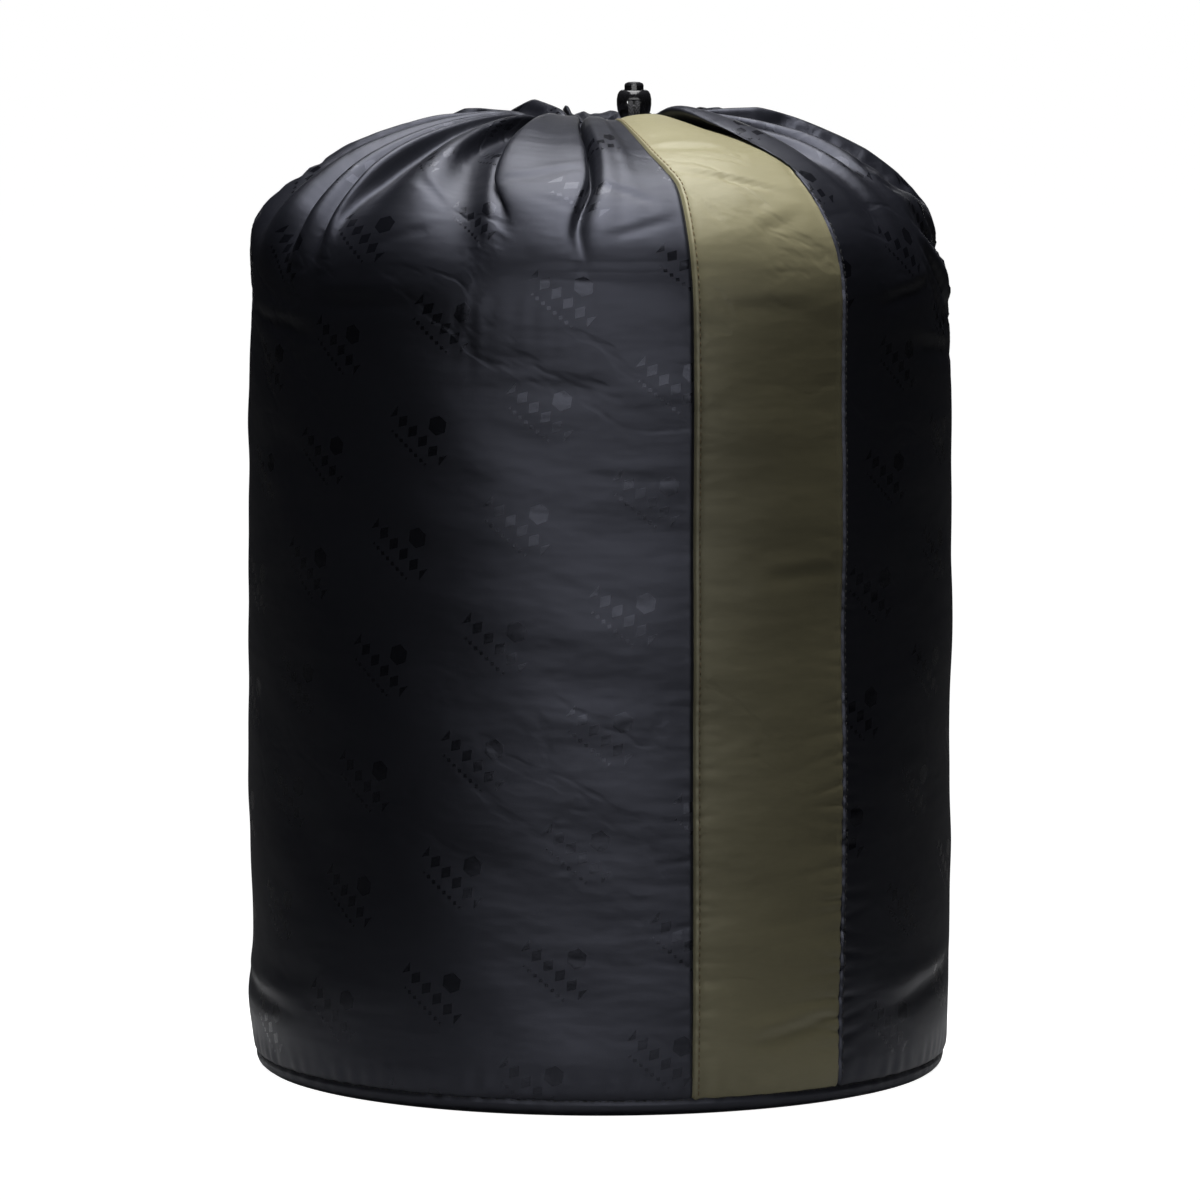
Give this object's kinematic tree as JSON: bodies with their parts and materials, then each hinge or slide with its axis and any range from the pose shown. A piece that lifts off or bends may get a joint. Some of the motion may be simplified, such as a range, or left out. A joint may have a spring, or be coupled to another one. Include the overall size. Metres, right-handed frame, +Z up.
{
  "type": "drawstring stuff sack",
  "caption": "Full cylindrical stuff sack with a round base, a contrasting stripe down one side, and a mouth gathered on a drawcord that a sprung cord lock holds.",
  "frame": {"origin": "centre of the round base, on the surface that the sack stands on", "axes": "+Z up the sack's axis to the mouth, -Y the front, with the stripe to the right of the front, towards +X"},
  "size_m": [0.3009, 0.3085, 0.4222],
  "materials": {
    "charcoal_nylon": "satin woven nylon",
    "olive_nylon": "satin woven nylon",
    "binding_tape": "matt woven tape",
    "sewing_thread": "twisted thread",
    "braided_cord": "round braid",
    "black_plastic": "glossy moulded",
    "spring_steel": "drawn wire",
    "sleeping_bag_shell": "packed quilted fabric"
  },
  "bodies": {
    "sack": {"body_panel": "charcoal_nylon", "accent_stripe": "olive_nylon", "base_panel": "charcoal_nylon", "base_seam_binding": "binding_tape", "side_seam_thread_left": "sewing_thread", "side_seam_thread_right": "sewing_thread", "base_seam_thread": "sewing_thread", "hem_seam_thread": "sewing_thread", "drawcord_hem": "charcoal_nylon", "buttonhole_stitching": "sewing_thread", "drawcord_in_hem": "braided_cord", "drawcord_tail_left": "braided_cord", "drawcord_tail_right": "braided_cord", "drawcord_end_knot": "braided_cord", "packed_sleeping_bag": "sleeping_bag_shell"},
    "cord_lock": {"cord_lock_barrel": "black_plastic", "cord_lock_spring": "spring_steel"},
    "lock_button": {"cord_lock_plunger": "black_plastic"}
  },
  "joints": [
    {"name": "cord_lock_slide", "type": "slide", "parent": "sack", "child": "cord_lock", "axis": [0, 1, 0], "range_m": [0, 0.012]},
    {"name": "lock_button_press", "type": "slide", "parent": "cord_lock", "child": "lock_button", "axis": [0, 0, 1], "range_m": [-0.0024, 0], "stiffness_N_per_m": 600, "springref_m": 0.003, "deforming": ["cord_lock_spring"]}
  ]
}
